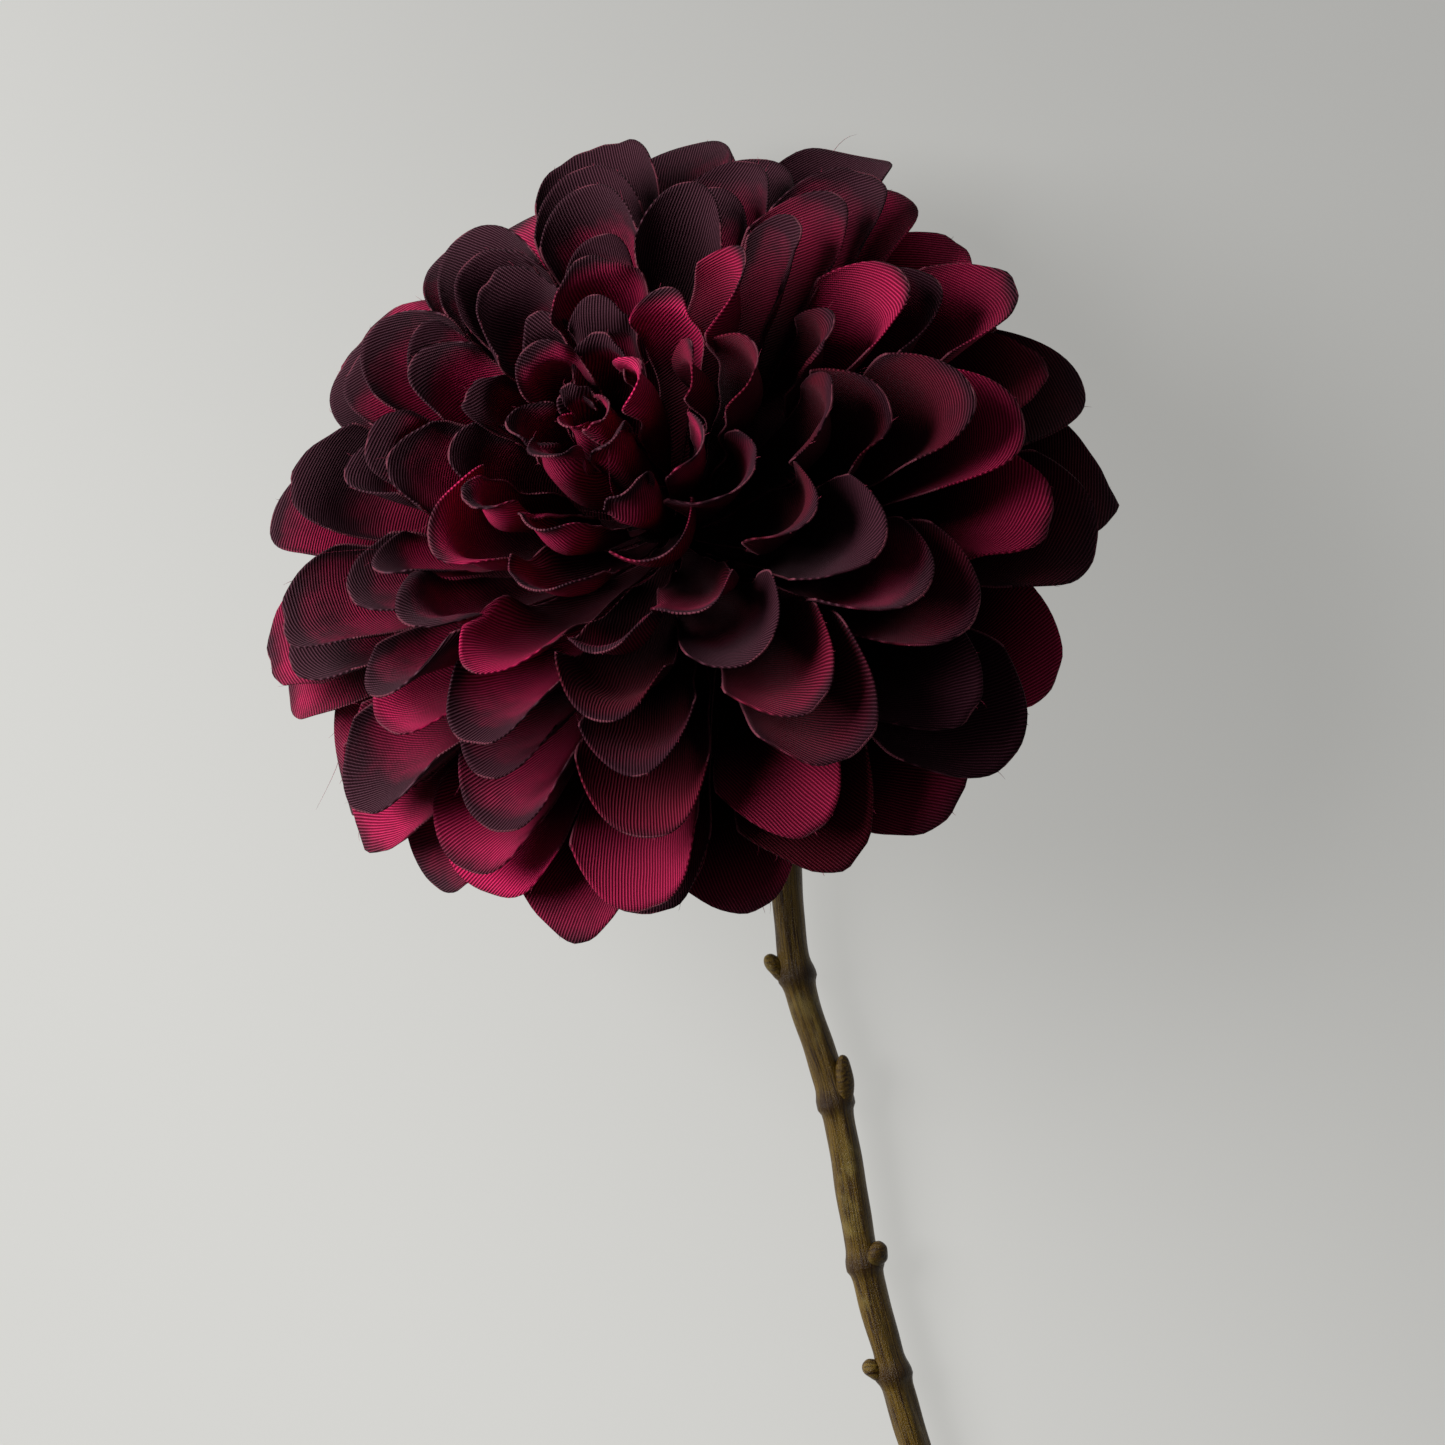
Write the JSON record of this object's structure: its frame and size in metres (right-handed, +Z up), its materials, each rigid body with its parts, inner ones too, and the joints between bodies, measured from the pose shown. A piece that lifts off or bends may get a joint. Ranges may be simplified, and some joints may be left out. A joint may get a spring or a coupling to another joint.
{
  "type": "fabric dahlia stem",
  "caption": "Artificial dahlia bloom: layers of cupped fabric petals threaded on a moulded calyx peg, on a bent moulded stem with nodes, lying on a surface.",
  "frame": {"origin": "on the surface that the flower lies on, under the middle of its bounding box", "axes": "+Z up from the surface, +Y along the stem from the cut end to the bloom, +X to the right of the bloom seen from above with the bloom at the top"},
  "size_m": [0.1428, 0.426, 0.0968],
  "materials": {
    "petal_cloth": "ribbed woven fabric, dyed crimson to bordeaux with charcoal plum tips, soft sheen",
    "stem_plastic": "moulded olive brown plastic with fine grooves and a waxy shine",
    "wire_steel": "cut steel wire"
  },
  "bodies": {
    "root": {"petal_disc_01": "petal_cloth", "petal_disc_02": "petal_cloth", "petal_disc_03": "petal_cloth", "petal_disc_04": "petal_cloth", "petal_disc_05": "petal_cloth", "petal_disc_06": "petal_cloth", "petal_disc_07": "petal_cloth", "petal_disc_08": "petal_cloth", "petal_disc_09": "petal_cloth", "petal_disc_10": "petal_cloth", "petal_disc_11": "petal_cloth", "calyx": "stem_plastic", "stem": "stem_plastic", "stem_wire": "wire_steel"}
  },
  "joints": []
}
